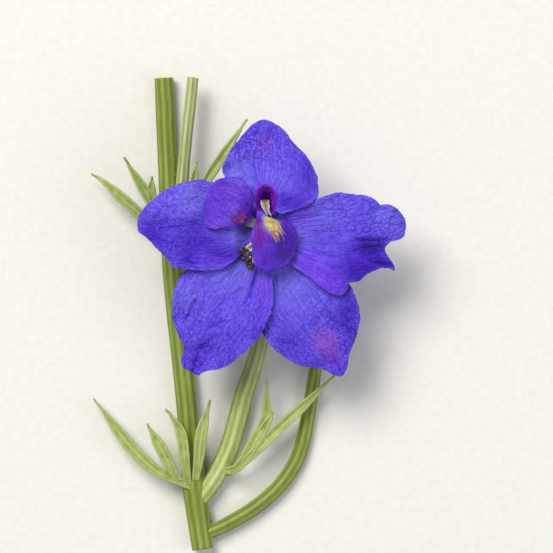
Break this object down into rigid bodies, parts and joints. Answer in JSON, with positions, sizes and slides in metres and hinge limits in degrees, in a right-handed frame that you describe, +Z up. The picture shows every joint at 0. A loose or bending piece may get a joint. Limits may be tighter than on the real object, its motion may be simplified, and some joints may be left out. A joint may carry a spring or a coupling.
{
  "type": "delphinium plant",
  "caption": "Cut flowering delphinium shoot lying flat: a violet-blue spurred bloom facing up, green stems and leaves cut into narrow lobes.",
  "frame": {"origin": "middle of the bounding box in plan, at the surface the shoot lies on", "axes": "+Z up, the way the bloom faces; +Y along the stems, from their cut foot towards the bloom's top sepal; +X to the right as seen from above"},
  "size_m": [0.0504, 0.0762, 0.0183],
  "materials": {
    "sepal": "satin",
    "petal": "satin",
    "cream": "matte",
    "anther": "matte",
    "stem": "satin",
    "leaf": "matte"
  },
  "bodies": {
    "root": {"sepal_top": "sepal", "sepal_left": "sepal", "sepal_right": "sepal", "sepal_lower_left": "sepal", "sepal_lower_right": "sepal", "petal_lower_left": "petal", "petal_lower_right": "petal", "petals_upper": "cream", "pistil": "cream", "stamens": "anther", "stalk_of_bloom": "stem", "stem_main": "stem", "stem_pale": "stem", "stem_right": "stem", "leaf_upper_left": "leaf", "leaf_upper_right": "leaf", "leaf_lower_left": "leaf", "leaf_lower_right": "leaf", "leaf_on_stalk": "leaf"}
  },
  "joints": []
}
